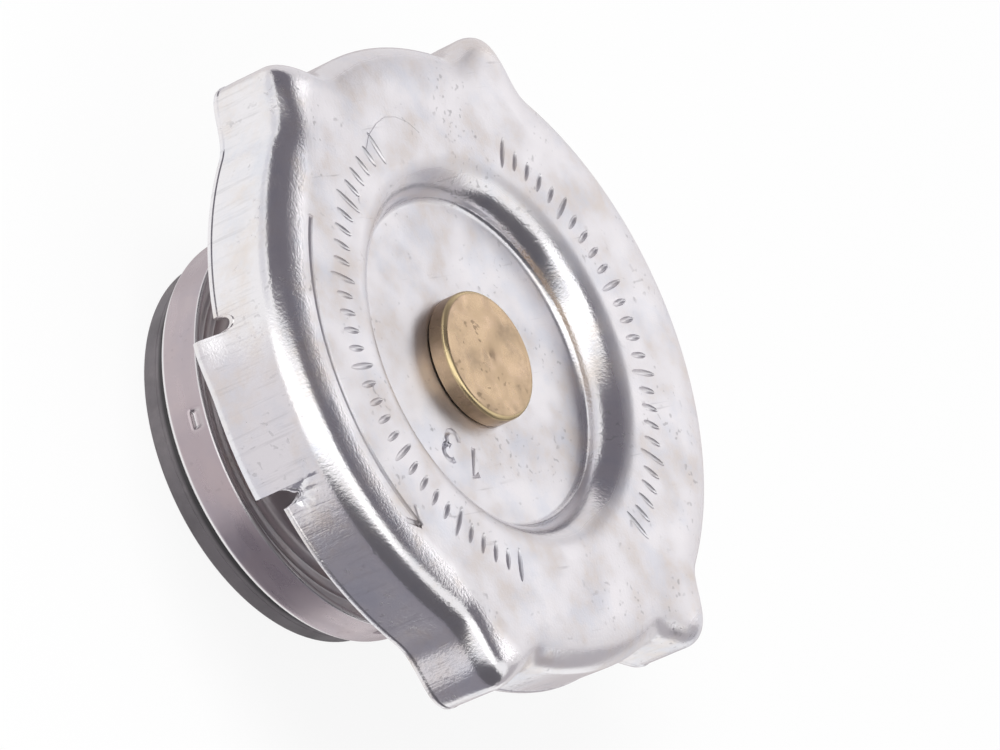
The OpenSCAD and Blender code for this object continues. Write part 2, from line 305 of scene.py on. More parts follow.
# %% Pits and specks
def tiny_pits():
    """Small dark specks that come in patches, from one noise inside another."""
    tree, start, end = new_group(
        "tiny_pits",
        [("Vector", VECTOR, None), ("Size", FLOAT, 1500.0), ("Amount", FLOAT, 0.5)], [("Pits", FLOAT)])
    speck = noise_node(tree, start.outputs["Vector"], start.outputs["Size"], 1.0, 0.5)
    patch = noise_node(tree, moved(tree, start.outputs["Vector"], shift=(0.05, 0.4, 0.2)), 170.0, 3.0, 0.6)
    found = math_node(tree, "MULTIPLY", span(tree, speck, 0.63, 0.71), span(tree, patch, 0.48, 0.62))
    tree.links.new(math_node(tree, "MULTIPLY", found, start.outputs["Amount"]), end.inputs["Pits"])
    return tree


pitted = tiny_pits()
print("group:", pitted.name)

# %% [markdown]
# ## The finishes
# One recipe makes every metal of the cap: a tinted mirror whose roughness drifts slowly and rises
# on a scratch, over a shallow bump. Rubber gets a recipe of its own, with no metal in it.


# %% The recipe for a metal
def place_group(tree, group, vector, **values):
    node = tree.nodes.new("ShaderNodeGroup")
    node.node_tree = group
    tree.links.new(vector, node.inputs["Vector"])
    for label, value in values.items():
        link(tree, value, node.inputs[label.replace("_", " ")])
    return node


def bump_from(tree, height, strength, distance_mm):
    node = tree.nodes.new("ShaderNodeBump")
    node.inputs["Strength"].default_value = strength
    node.inputs["Distance"].default_value = distance_mm * MM
    tree.links.new(height, node.inputs["Height"])
    return node.outputs["Normal"]


def new_material(name):
    material = bpy.data.materials.new(name)
    material.use_nodes = True
    tree = material.node_tree
    shader = tree.nodes["Principled BSDF"]
    where = tree.nodes.new("ShaderNodeTexCoord").outputs["Object"]
    return material, tree, shader, where


def mesh_mark(tree, name):
    """A value that the mesh carries on its points; 0 where a mesh has none."""
    node = tree.nodes.new("ShaderNodeAttribute")
    node.attribute_name = name
    return node.outputs["Fac"]


mark_dark, mark_tint, mark_rough, mark_depth = 0.45, 0.45, 0.12, 0.4
drawn_dark, drawn_tint, drawn_depth = 0.6, 0.3, 0.5


def metal(name, main, warm, cool, rough, clouds, grain, wave, bump, density, squash=(1, 1, 1),
          satin=0.0, edge=0.0, shine=(1, 1, 1)):
    """A metal with three tints. Clouds, grain and wave are scales per metre.

    Satin roughens the flats and draws lines up the walls; edge paints a highlight, in the colour shine,
    over edges that are bright from wear. The mesh marks where, by the values burnish, drawn and
    edge_wear_and_painted_light on its points.
    """
    material, tree, shader, where = new_material(name)
    tints = {"Main": shade(main), "Warm": shade(warm), "Cool": shade(cool)}
    plating = place_group(tree, cloudy, where, Scale=clouds, **tints)
    lines = place_group(tree, scratched, where, Density=density)
    pits = place_group(tree, pitted, where, Amount=density)
    skin = place_group(tree, grainy, moved(tree, where, squash), Grain=grain, Wave=wave)
    marks = math_node(tree, "MAXIMUM", lines.outputs["Lines"], pits.outputs["Pits"])
    marked = math_node(tree, "MULTIPLY", marks, mark_tint)
    colour = mix_colour(tree, marked, plating.outputs["Colour"], shade(main, mark_dark))
    rough_now = span(tree, skin.outputs["Uneven"], 0.3, 0.7, rough[0], rough[1])
    rough_now = math_node(tree, "MULTIPLY_ADD", marks, mark_rough, rough_now)
    grain_height = skin.outputs["Height"]
    if satin:
        flats = math_node(tree, "SUBTRACT", 1.0, mesh_mark(tree, "burnish"))
        rough_now = math_node(tree, "MULTIPLY_ADD", flats, satin, rough_now)
        grain_share = span(tree, flats, 0.0, 1.0, 1.15, 1.0)
        grain_height = math_node(tree, "MULTIPLY", grain_height, grain_share)
        streak = noise_node(tree, moved(tree, where, (1, 1, 0.05)), 1500.0, 3.0, 0.7)
        drawn = math_node(tree, "MULTIPLY", mesh_mark(tree, "drawn"), span(tree, streak, 0.5, 0.72))
        tinted = math_node(tree, "MULTIPLY", drawn, drawn_tint)
        colour = mix_colour(tree, tinted, colour, shade(main, drawn_dark))
        sunk = math_node(tree, "MULTIPLY", drawn, drawn_depth)
        grain_height = math_node(tree, "SUBTRACT", grain_height, sunk)
    if edge:
        # painted highlight: marked edges are mixed towards the bright colour shine
        wear_and_light = math_node(tree, "MULTIPLY", mesh_mark(tree, "edge_wear_and_painted_light"), edge)
        colour = mix_colour(tree, wear_and_light, colour, shade(shine))
    tree.links.new(colour, shader.inputs["Base Color"])
    tree.links.new(rough_now, shader.inputs["Roughness"])
    sunk = math_node(tree, "MULTIPLY", marks, mark_depth)
    height = math_node(tree, "SUBTRACT", grain_height, sunk)
    tree.links.new(bump_from(tree, height, bump, 0.02), shader.inputs["Normal"])
    shader.inputs["Metallic"].default_value = 1.0
    return material


# %% The metals of the cap
# edge sets how strongly each metal paints a highlight on its marked edges
zinc_sheet = metal(
    "zinc_sheet", (0.84, 0.82, 0.84), (0.80, 0.74, 0.705), (0.765, 0.77, 0.82), rough=(0.16, 0.25),
    clouds=180.0, grain=3400.0, wave=180.0, bump=0.9, density=0.75, satin=0.2)
brass = metal(
    "brass", (0.525, 0.385, 0.25), (0.59, 0.43, 0.305), (0.38, 0.28, 0.19), rough=(0.22, 0.36),
    clouds=260.0, grain=1800.0, wave=300.0, bump=0.6, density=1.0, edge=0.6, shine=(0.95, 0.78, 0.42))
tinned_cup = metal(
    "tinned_cup", (0.49, 0.425, 0.45), (0.53, 0.45, 0.465), (0.45, 0.40, 0.44), rough=(0.25, 0.36),
    clouds=110.0, grain=1500.0, wave=200.0, bump=0.4, density=0.35, squash=(1, 1, 4), edge=0.8)
bell_steel = metal(
    "bell_steel", (0.66, 0.60, 0.62), (0.70, 0.61, 0.59), (0.54, 0.52, 0.56), rough=(0.34, 0.46),
    clouds=120.0, grain=1600.0, wave=240.0, bump=0.35, density=0.6, edge=0.5)
spring_steel = metal(
    "spring_steel", (0.50, 0.50, 0.51), (0.52, 0.50, 0.47), (0.43, 0.45, 0.49), rough=(0.25, 0.36),
    clouds=140.0, grain=2200.0, wave=200.0, bump=0.25, density=0.4)
spring_wire = metal(
    "spring_wire", (0.42, 0.42, 0.43), (0.45, 0.42, 0.38), (0.35, 0.37, 0.41), rough=(0.26, 0.38),
    clouds=300.0, grain=3000.0, wave=400.0, bump=0.25, density=0.3)
retainer_metal = metal(
    "retainer_metal", (0.56, 0.43, 0.28), (0.60, 0.46, 0.32), (0.45, 0.36, 0.26), rough=(0.3, 0.42),
    clouds=180.0, grain=1800.0, wave=260.0, bump=0.3, density=0.5)
valve_brass = metal(
    "valve_brass", (0.62, 0.47, 0.26), (0.64, 0.49, 0.30), (0.50, 0.38, 0.23), rough=(0.24, 0.36),
    clouds=260.0, grain=2200.0, wave=300.0, bump=0.3, density=0.4)
print("metals:", ", ".join(m.name for m in bpy.data.materials))


# %% The rubbers
def rubber(name, main, pale, rough):
    """Moulded rubber: a dull skin with a pale bloom, a sandy surface and painted shade on the rows its mesh
    marks.
    """
    material, tree, shader, where = new_material(name)
    tints = {"Main": shade(main), "Warm": shade(pale), "Cool": shade(main, 0.75)}
    bloom = place_group(tree, cloudy, where, Scale=150.0, **tints)
    skin = place_group(tree, grainy, where, Grain=3200.0, Wave=300.0)
    # painted shade: marked rows are darkened towards a tenth of the main colour
    painted_shade = math_node(tree, "MULTIPLY", mesh_mark(tree, "edge_wear_and_painted_light"), 0.85)
    colour = mix_colour(tree, painted_shade, bloom.outputs["Colour"], shade(main, 0.1))
    rough_now = span(tree, skin.outputs["Uneven"], 0.3, 0.7, rough[0], rough[1])
    tree.links.new(colour, shader.inputs["Base Color"])
    tree.links.new(rough_now, shader.inputs["Roughness"])
    tree.links.new(bump_from(tree, skin.outputs["Height"], 0.5, 0.03), shader.inputs["Normal"])
    return material


gasket_rubber = rubber("gasket_rubber", (0.16, 0.145, 0.157), (0.21, 0.19, 0.20), (0.5, 0.68))
seal_rubber = rubber("seal_rubber", (0.035, 0.033, 0.033), (0.05, 0.047, 0.046), (0.5, 0.66))
print("rubbers:", gasket_rubber.name, seal_rubber.name)

# %% [markdown]
# ## The pressed shell
# The real shell is one disc of sheet metal, drawn into a shallow cap with four gripping ears, two
# lugs bent in under the rim and small relief notches beside them. Its section is the same all the
# way round, apart from how far the wall stands out and how low its edge reaches. So a strip with
# one row for each point of the section is made flat, and a Geometry Nodes tree bends it into the
# cap by that rule. Rows of a lug's bend lie on the skirt's edge wherever there is no lug.

# %% Rows of the section
section = []


def row(point, ear=0.0, edge=0.0, lug=(0.0, 0.0), lip=0.0):
    """A section point, its shares in the wall and the edge, and its ways into a lug and a rolled lip."""
    section.append((*point, ear, edge, *lug, lip))


roll, roll_deg, roll_from, flat_from = 0.25, 10.0, 27.6, 24.3
wall_top = face_z - roll - shoulder * math.cos(math.radians(roll_deg))
shoulder_mid = (shell_r - shoulder, wall_top)
flat_to = shoulder_mid[0] + shoulder * math.sin(math.radians(roll_deg))
lip_h, lip_out = 0.75, 0.1
wall_low = skirt_z + lip_h
lug_edge = lug_z + lug_bend
lug_tip = shell_r - lug_reach


def face_row(radius, below=0.0):
    """A row of the face, which rolls over gently before the shoulder."""
    share = max(0.0, (radius - flat_from) / (flat_to - flat_from))
    fall = roll * max(0.0, (radius - roll_from) / (flat_to - roll_from)) ** 2
    row((radius, face_z - fall - below), share)


def wall_row(z, radius=shell_r):
    share = (wall_top - z) / (wall_top - wall_low)
    row((radius, z), 1, share, lip=lip_out * share if radius == shell_r else 0)


# outside, from the middle of the cap to the skirt's edge
for r in (bore_r, 5.5, 8, 10.5, 13, 15):
    row((r, floor_z))
for p in arc((floor_r, floor_z + floor_bend), floor_bend, -90, bend_turn - 90, 8):
    row(p)
for p in arc((lip_end, face_z - lip_bend), lip_bend, bend_turn + 90, 90, 18)[1:]:
    row(p)
for r in (21.4, 22.4, 23.4, flat_from, 26, roll_from, 28.2, 28.8, 29.4, 29.9):
    face_row(r)
for p in arc(shoulder_mid, shoulder, 90 - roll_deg, 0, 16):
    row(p, 1)
for z in steps_to(wall_top, 23.3, 5) + steps_to(23.3, wall_low, 16):
    wall_row(z)
for inset, up in ((0.0, lip_h - 0.12), (0.0, bevel_h), (0.1, 0.15)):
    row((shell_r - inset, skirt_z + up), 1, 1, (inset, 0))

# the edge, and the bend of a lug where there is one
cut = (shell_r - sheet / 2, skirt_z)
row(cut, 1, 1, (sheet / 2, 0))
for p in arc((shell_r - lug_bend, lug_edge), lug_bend, 0, -90, 9)[1:]:
    row(cut, 1, 1, (p[0] - cut[0], p[1] - lug_edge))
row(cut, 1, 1, (lug_tip - cut[0], lug_z - lug_edge))
inner_cut = (shell_r - sheet, skirt_z)
row(inner_cut, 1, 1, (lug_tip - inner_cut[0], lug_z + sheet - lug_edge))
for p in arc((shell_r - lug_bend, lug_edge), lug_bend - sheet, -90, 0, 4)[:-1]:
    row(inner_cut, 1, 1, (p[0] - inner_cut[0], p[1] - lug_edge))

# inside, back to the middle
for i in range(6, -1, -1):
    row((shell_r - sheet, wall_top + (skirt_z - wall_top) * i / 6), 1, i / 6, lip=lip_out * min(1, i / 5))
for p in arc(shoulder_mid, shoulder - sheet, 0, 90 - roll_deg, 8)[1:]:
    row(p, 1)
for r in (29.5, 28.5, roll_from, flat_from, 22):
    face_row(r, sheet)
for p in arc((lip_end, face_z - lip_bend), lip_bend - sheet, 90, bend_turn + 90, 8):
    row(p)
for p in arc((floor_r, floor_z + floor_bend), floor_bend + sheet, bend_turn - 90, -90, 8)[1:]:
    row(p)
for r in (12, 7, bore_r):
    row((r, floor_z - sheet))
print("rows in the section:", len(section))

# %% Angles of the strip
notch_shares = (0.01, 0.03, 0.08, 0.15, 0.25, 0.375, 0.5, 0.625, 0.75, 0.85, 0.92, 0.97, 0.99, 1)


def quarter(lug_steps, beside_steps):
    """Angles from the lug's middle to the short side, close together where the sheet turns."""
    notch_end = lug_half + notch_w
    angles = [0.0] + steps_to(0, lug_half, lug_steps) + [lug_half + notch_w * u for u in notch_shares]
    angles += steps_to(notch_end, 22, beside_steps) + steps_to(22, ear_angle - ear_w, 16)
    return angles + steps_to(ear_angle - ear_w, ear_angle + ear_w, 38) + steps_to(ear_angle + ear_w, 90, 10)


plain, fine = quarter(10, 8), quarter(22, 24)
turns = fine + [180 - a for a in plain[-2::-1]]
turns += [180 + a for a in plain[1:]] + [360 - a for a in plain[-2:0:-1]]
print("columns round the shell:", len(turns))


# %% The flat strip
def flat_strip():
    columns, rows = len(turns), len(section)
    points = [(i * MM, j * MM, 0) for i in range(columns) for j in range(rows)]
    mesh = bpy.data.meshes.new("shell_strip")
    mesh.from_pydata(points, [], ring_faces(columns, rows))
    mark_points(mesh, "turn", np.repeat(turns, rows))
    labels = ("reach", "height", "ear_share", "edge_share", "lug_reach", "lug_height", "lip_in")
    for label, column in zip(labels, zip(*section)):
        mark_points(mesh, label, np.tile(column, columns))
    return new_piece("shell_strip", mesh)


strip = flat_strip()
print("strip points:", len(strip.data.vertices))


# %% The rule that bends the strip
def new_geometry_tree(name, sizes, with_geometry=True):
    tree = bpy.data.node_groups.new(name, "GeometryNodeTree")
    if with_geometry:
        tree.interface.new_socket("Geometry", in_out="INPUT", socket_type="NodeSocketGeometry")
    for label, value in sizes:
        socket = tree.interface.new_socket(label, in_out="INPUT", socket_type="NodeSocketFloat")
        socket.default_value = value
    tree.interface.new_socket("Material", in_out="INPUT", socket_type="NodeSocketMaterial")
    tree.interface.new_socket("Geometry", in_out="OUTPUT", socket_type="NodeSocketGeometry")
    return tree, tree.nodes.new("NodeGroupInput"), tree.nodes.new("NodeGroupOutput")


def finish_tree(tree, geometry, start, end):
    """Every tree ends in real geometry with its material on it."""
    real = tree.nodes.new("GeometryNodeRealizeInstances")
    paint = tree.nodes.new("GeometryNodeSetMaterial")
    tree.links.new(geometry, real.inputs["Geometry"])
    tree.links.new(real.outputs["Geometry"], paint.inputs["Geometry"])
    tree.links.new(start.outputs["Material"], paint.inputs["Material"])
    tree.links.new(paint.outputs["Geometry"], end.inputs["Geometry"])


def run_tree(piece, tree, **values):
    """Puts the tree on a piece and sets its inputs by their identifiers."""
    modifier = piece.modifiers.new(tree.name, "NODES")
    modifier.node_group = tree
    named = {s.name: s.identifier for s in tree.interface.items_tree if s.in_out == "INPUT"}
    for label, value in values.items():
        modifier[named[label.replace("_", " ")]] = value


def attribute(tree, name):
    node = tree.nodes.new("GeometryNodeInputNamedAttribute")
    node.data_type = "FLOAT"
    node.inputs["Name"].default_value = name
    return node.outputs["Attribute"]


def eased(tree, value):
    """A smooth step from 0 to 1, as half a cosine wave."""
    held = math_node(tree, "MINIMUM", math_node(tree, "MAXIMUM", value, 0.0), 1.0)
    wave = math_node(tree, "COSINE", math_node(tree, "MULTIPLY", held, math.pi))
    return math_node(tree, "MULTIPLY_ADD", wave, -0.5, 0.5)


# %% The shell tree
def shell_tree():
    tree, start, end = new_geometry_tree("pressed_shell", (
        ("Short Side", short_r - shell_r), ("Ear Out", ear_out), ("Ear Angle", ear_angle),
        ("Ear Width", ear_w), ("Ear Soft", ear_soft), ("Lug Half", lug_half),
        ("Lug Edge", lug_edge - skirt_z), ("Notch Width", notch_w), ("Notch Height", notch_h)))
    size = start.outputs
    turn = attribute(tree, "turn")
    off_lug = math_node(tree, "PINGPONG", turn, 90.0)
    from_ear = math_node(tree, "SUBTRACT", off_lug, size["Ear Angle"])
    across = math_node(tree, "DIVIDE", from_ear, size["Ear Width"])
    side = eased(tree, math_node(tree, "MULTIPLY_ADD", across, 0.5, 0.5))
    bulge = math_node(tree, "SUBTRACT", 1.0, eased(tree, math_node(tree, "ABSOLUTE", across)))
    bulge = math_node(tree, "POWER", bulge, size["Ear Soft"])
    wall = math_node(tree, "ADD", math_node(tree, "MULTIPLY", side, size["Short Side"]),
                     math_node(tree, "MULTIPLY", bulge, size["Ear Out"]))
    from_lug = math_node(tree, "SUBTRACT", off_lug, size["Lug Half"])
    in_notch = math_node(tree, "DIVIDE", from_lug, size["Notch Width"])
    in_notch = math_node(tree, "MINIMUM", math_node(tree, "MAXIMUM", in_notch, 0.0), 1.0)
    centred = math_node(tree, "MULTIPLY_ADD", in_notch, 2.0, -1.0)
    squared = math_node(tree, "MULTIPLY", centred, centred)
    round_top = math_node(tree, "SQRT", math_node(tree, "SUBTRACT", 1.0, squared))
    on_lug = math_node(tree, "LESS_THAN", off_lug, math_node(tree, "ADD", size["Lug Half"], 0.002))
    edge = math_node(tree, "ADD", math_node(tree, "MULTIPLY", round_top, size["Notch Height"]),
                     math_node(tree, "MULTIPLY", on_lug, size["Lug Edge"]))
    reach = math_node(tree, "MULTIPLY_ADD", attribute(tree, "ear_share"), wall, attribute(tree, "reach"))
    reach = math_node(tree, "MULTIPLY_ADD", attribute(tree, "lug_reach"), on_lug, reach)
    no_lug = math_node(tree, "SUBTRACT", 1.0, on_lug)
    off_lip = math_node(tree, "MULTIPLY", attribute(tree, "lip_in"), no_lug)
    reach = math_node(tree, "SUBTRACT", reach, off_lip)
    height = math_node(tree, "MULTIPLY_ADD", attribute(tree, "edge_share"), edge, attribute(tree, "height"))
    height = math_node(tree, "MULTIPLY_ADD", attribute(tree, "lug_height"), on_lug, height)
    angle = math_node(tree, "RADIANS", turn)
    place = tree.nodes.new("ShaderNodeCombineXYZ")
    for axis, swing in (("X", "COSINE"), ("Y", "SINE")):
        out = math_node(tree, "MULTIPLY", reach, math_node(tree, swing, angle))
        tree.links.new(math_node(tree, "MULTIPLY", out, MM), place.inputs[axis])
    tree.links.new(math_node(tree, "MULTIPLY", height, MM), place.inputs["Z"])
    bend = tree.nodes.new("GeometryNodeSetPosition")
    tree.links.new(size["Geometry"], bend.inputs["Geometry"])
    tree.links.new(place.outputs[0], bend.inputs["Position"])
    weld = tree.nodes.new("GeometryNodeMergeByDistance")
    weld.inputs["Distance"].default_value = 2e-6
    tree.links.new(bend.outputs[0], weld.inputs["Geometry"])
    finish_tree(tree, weld.outputs[0], start, end)
    return tree


run_tree(strip, shell_tree(), Material=zinc_sheet)
shell_mesh = plain_mesh(strip)
shell_mesh.name = "cap_shell"
tidy_mesh(shell_mesh)
shell = new_piece("cap_shell", shell_mesh)
print("shell:", len(shell_mesh.vertices), "points,", len(shell_mesh.polygons), "faces")

# %% [markdown]
# ## Hand wear on the shell
# A pressed cap is never as true as its tool. The lug's corner was bent out in use and the metal
# beside one notch is torn and crumpled. A few moves of the points, each fading out with distance,
# give the sheet that history as real shape, so that reflections break there too.


# %% Bent corner, crumpled notch, uneven sheet
torn_deg, torn_z = 16, 21.4
# each crease leans by an angle from the edge and has a length, a width and a depth in mm
creases = ((118, 2.8, 0.2, 0.4), (88, 3.2, 0.2, 0.36), (60, 2.2, 0.18, 0.34), (28, 2.0, 0.2, 0.3))


def worn_sheet(mesh):
    p = points_mm(mesh)
    angle = np.degrees(np.arctan2(p[:, 1], p[:, 0]))
    radius, z = np.hypot(p[:, 0], p[:, 1]), p[:, 2]
    on_wall = (radius > 27).astype(float)

    def wobble(pitch, seed):
        return np.array([noise.noise(Vector((x / pitch, y / pitch, h / pitch + seed))) for x, y, h in p])

    def soft(value):
        return (1 - np.cos(np.pi * np.clip(value, 0, 1))) / 2

    # the lug's corner, bent out
    out = 0.95 * on_wall * soft((-3 - angle) / 11.5) * (angle > -14.3) * soft((22.6 - z) / 6)
    # creases that run up the wall from the torn notch, and a dent beside them
    across, up = np.radians(angle - torn_deg) * shell_r, z - torn_z
    for lean, length, width, depth in creases:
        c, t = math.cos(math.radians(lean)), math.sin(math.radians(lean))
        along, aside = across * c + up * t, up * c - across * t
        line = np.exp(-(aside / width) ** 2) * np.clip((along + 0.2) / 0.3, 0, 1)
        line = line * np.clip((length - along) / length / 0.7, 0, 1)
        out -= depth * line * on_wall
    near = np.exp(-((across - 0.9) / 1.5) ** 2 - ((up - 0.3) / 1.2) ** 2) * on_wall
    out -= near * (0.08 + 0.05 * wobble(0.8, 3))
    # a slow unevenness of the skirt and a livelier one on the ears, inwards only
    skirt = np.clip((radius - 29.5) / 2.5, 0, 1) * np.clip((face_z - z) / 3, 0, 1)
    ears = np.clip((radius - 33) / 1.5, 0, 1)
    out -= skirt * (0.16 * (0.5 + 0.5 * wobble(8.0, 4)) + 0.1 * ears * (0.5 + 0.5 * wobble(2.6, 6)))
    p[:, :2] *= ((radius + out) / np.maximum(radius, 1e-6))[:, None]
    p[:, 0] = np.clip(p[:, 0], -shell_r, shell_r)
    p[:, 1] = np.clip(p[:, 1], -short_r, short_r)
    set_points_mm(mesh, p)
    return float(np.abs(out).max())


print(f"largest move: {worn_sheet(shell_mesh):.2f} mm")

# %% [markdown]
# ## Marks stamped into the face
# The press leaves grooves with round bottoms in the face: a scale of short strokes round the rim, an
# arrow for the way to turn, and a plain number on the floor of the recess. Strokes that repeat come
# from a Geometry Nodes tree, which sets one punch on every point of an arc. The other strokes become
# thin rods, and a Boolean takes punches and rods out of the sheet, so the grooves are real.

# %% Strokes of the number and the arrow
groove_r = 0.34


def on_floor(x, y, middle_deg, middle_r):
    """A point of a digit: x in reading direction, y outwards, both in mm."""
    a = math.radians(middle_deg) - x / middle_r
    r = middle_r + y
    return (r * math.cos(a), r * math.sin(a), floor_z + 0.06)


def ring_points(radius, start, end, count, height):
    angles = [math.radians(start + (end - start) * i / count) for i in range(count + 1)]
    return [(radius * math.cos(a), radius * math.sin(a), height) for a in angles]


one = [(-0.75, 0.95), (0.05, 1.6), (0.05, -1.7)]
three = [(x * 0.98, y) for x, y in arc((0, 0.8), 0.85, 160, -75, 9)]
three += [(x * 1.05, y) for x, y in arc((0, -0.8), 0.95, 75, -160, 10)]
strokes = [[on_floor(x, y, 60, 11.2) for x, y in one], [on_floor(x, y, 43, 11.2) for x, y in three]]
mark_z = face_z + 0.06
arrow_r = 27.4
strokes.append(ring_points(arrow_r, -36, 34, 30, mark_z))
arrow_tip = strokes[-1][-1]
for side in (-1.25, 1.25):
    strokes.append([arrow_tip, ring_points(arrow_r + side, 30.4, 30.4, 1, mark_z)[0]])
scratch = [ring_points(r, a, a, 1, face_z + 0.05)[0] for r, a in (
    (23.6, -66), (24.4, -70), (24.8, -75), (24.9, -79), (24.5, -83), (23.6, -87), (22.4, -90))]
print("strokes:", len(strokes))


# %% Rods for the strokes
def rods(name, lines, radius):
    """Round rods along lines of points in mm, as one mesh."""
    curve = bpy.data.curves.new(name, "CURVE")
    curve.dimensions, curve.bevel_depth, curve.bevel_resolution = "3D", radius * MM, 2
    curve.use_fill_caps = True
    for line in lines:
        spline = curve.splines.new("POLY")
        spline.points.add(len(line) - 1)
        for point, place in zip(spline.points, line):
            point.co = (*[v * MM for v in place], 1)
    return plain_mesh(new_piece(name, curve))


# %% The scale of short strokes
def scale_tree():
    """One boat-shaped punch on every point of an arc, turned to point at the axis."""
    tree, start, end = new_geometry_tree("stamped_scale", (
        ("Radius", 23.0), ("Start", 0.0), ("Sweep", 90.0), ("Count", 20.0), ("Length", 2.4),
        ("Groove", groove_r), ("Height", mark_z), ("Long Every", 5.0), ("Long Share", 1.5)),
        with_geometry=False)
    size = start.outputs
    to_m = {k: math_node(tree, "MULTIPLY", size[k], MM) for k in ("Radius", "Length", "Groove", "Height")}
    points = tree.nodes.new("GeometryNodePoints")
    tree.links.new(size["Count"], points.inputs["Count"])
    index = tree.nodes.new("GeometryNodeInputIndex").outputs[0]
    share = math_node(tree, "DIVIDE", index, math_node(tree, "SUBTRACT", size["Count"], 1.0))
    angle = math_node(tree, "RADIANS", math_node(tree, "MULTIPLY_ADD", share, size["Sweep"], size["Start"]))
    place = tree.nodes.new("ShaderNodeCombineXYZ")
    for axis, swing in (("X", "COSINE"), ("Y", "SINE")):
        out = math_node(tree, "MULTIPLY", to_m["Radius"], math_node(tree, swing, angle))
        tree.links.new(out, place.inputs[axis])
    tree.links.new(to_m["Height"], place.inputs["Z"])
    tree.links.new(place.outputs[0], points.inputs["Position"])
    punch = tree.nodes.new("GeometryNodeMeshUVSphere")
    punch.inputs["Segments"].default_value, punch.inputs["Rings"].default_value = 20, 10
    punch.inputs["Radius"].default_value = 1.0
    shape = tree.nodes.new("ShaderNodeCombineXYZ")
    tree.links.new(math_node(tree, "MULTIPLY", to_m["Length"], 0.5), shape.inputs["X"])
    tree.links.new(to_m["Groove"], shape.inputs["Y"])
    tree.links.new(to_m["Groove"], shape.inputs["Z"])
    lay = tree.nodes.new("GeometryNodeTransform")
    tree.links.new(shape.outputs[0], lay.inputs["Scale"])
    tree.links.new(punch.outputs["Mesh"], lay.inputs["Geometry"])
    turned = tree.nodes.new("ShaderNodeCombineXYZ")
    tree.links.new(angle, turned.inputs["Z"])
    in_group = math_node(tree, "FLOORED_MODULO", index, size["Long Every"])
    is_long = math_node(tree, "LESS_THAN", in_group, 0.5)
    stretch = tree.nodes.new("ShaderNodeCombineXYZ")
    more = math_node(tree, "SUBTRACT", size["Long Share"], 1.0)
    tree.links.new(math_node(tree, "MULTIPLY_ADD", is_long, more, 1.0), stretch.inputs["X"])
    for axis in ("Y", "Z"):
        stretch.inputs[axis].default_value = 1.0
    spread = tree.nodes.new("GeometryNodeInstanceOnPoints")
    tree.links.new(points.outputs[0], spread.inputs["Points"])
    tree.links.new(lay.outputs[0], spread.inputs["Instance"])
    tree.links.new(turned.outputs[0], spread.inputs["Rotation"])
    tree.links.new(stretch.outputs[0], spread.inputs["Scale"])
    finish_tree(tree, spread.outputs[0], start, end)
    return tree


scale_rule = scale_tree()


def scale_marks(name, **values):
    piece = new_piece(name, bpy.data.meshes.new(name))
    run_tree(piece, scale_rule, Material=zinc_sheet, **values)
    return plain_mesh(piece)


stroke = {"Radius": 22.9, "Length": 2.5, "Groove": 0.36}
near_scale = scale_marks("near_scale", Start=-70.0, Sweep=136.0, Count=31.0, **stroke)
far_scale = scale_marks("far_scale", Start=122.0, Sweep=115.0, Count=26.0, **stroke)
print("scale strokes have", len(near_scale.polygons) + len(far_scale.polygons), "faces")


# %% Stamp the grooves
def stamp(piece, cutters):
    """Takes all cutters out of the piece and leaves it a plain mesh."""
    bm = bmesh.new()
    for mesh in cutters:
        bm.from_mesh(mesh)
        bpy.data.meshes.remove(mesh)
    bmesh.ops.recalc_face_normals(bm, faces=bm.faces)
    mesh = bpy.data.meshes.new("punches")
    bm.to_mesh(mesh)
    bm.free()
    punches = new_piece("punches", mesh)
    cut = piece.modifiers.new("stamp", "BOOLEAN")
    cut.object, cut.operation, cut.solver, cut.use_self = punches, "DIFFERENCE", "EXACT", True
    name = piece.name
    result = plain_mesh(piece)
    bpy.data.objects.remove(punches)
    return new_piece(name, result)


shell = stamp(shell, [rods("mark_rods", strokes, groove_r), rods("scratch_rod", [scratch], 0.085),
                      near_scale, far_scale])
tidy_mesh(shell.data, 38)
print("stamped shell:", len(shell.data.vertices), "points,", len(shell.data.polygons), "faces")

# %% [markdown]
# ## Polished bends, satin flats
# The press rubs the sheet hardest where it bends it, so the shoulder, the recess's wall and the skirt
# shine, while the flats stay satin. Such a mask could be painted by hand. Here it is worked out from
# the place of each point and kept on the mesh, where the finish reads it, so it follows the shape.


# %% Where the press burnished the sheet
def press_marks(mesh):
    """burnish is 1 on the bends and the wall, which the tool polished; drawn is 1 on the wall alone."""
    p = points_mm(mesh)
    radius, z = np.hypot(p[:, 0], p[:, 1]), p[:, 2]
    # on the side of one lug the rim is rubbed bright almost up to the flat
    rubbed = np.clip((p[:, 0] / np.maximum(radius, 1e-6) - 0.4) / 0.3, 0, 1)
    satin_to = 34.0 - 5.0 * rubbed
    on_face = np.clip((z - face_z + 0.6) / 0.4, 0, 1) * np.clip((satin_to - radius) / 1.4, 0, 1)
    in_recess = np.clip((16.9 - radius) / 0.7, 0, 1) * np.clip((floor_z + 0.35 - z) / 0.25, 0, 1)
    on_wall = np.clip((radius - 29.0) / 1.0, 0, 1) * np.clip((wall_top + 0.4 - z) / 1.2, 0, 1)
    shares = {"burnish": 1 - np.maximum(on_face, in_recess), "drawn": on_wall}
    for label, share in shares.items():
        mark_points(mesh, label, share)
    return {label: round(float(share.mean()), 2) for label, share in shares.items()}


print("shares of the points:", press_marks(shell.data))

# %% Hand the shell over to the frame
shell.data.materials.clear()
shell.data.materials.append(zinc_sheet)
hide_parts("shell")
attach(shell, "shell")
print("shell triangles:", sum(len(f.vertices) - 2 for f in shell.data.polygons))

# %% [markdown]
# ## The turned rivet
# The rivet joins the shell to the spring disc and the bell, and turns in the shell. It is a turned
# piece, so a lathe of its outline is the natural way. The outline adds what the solid leaves out:
# shallow rings from facing the head, a small centre dimple and a softly broken edge.

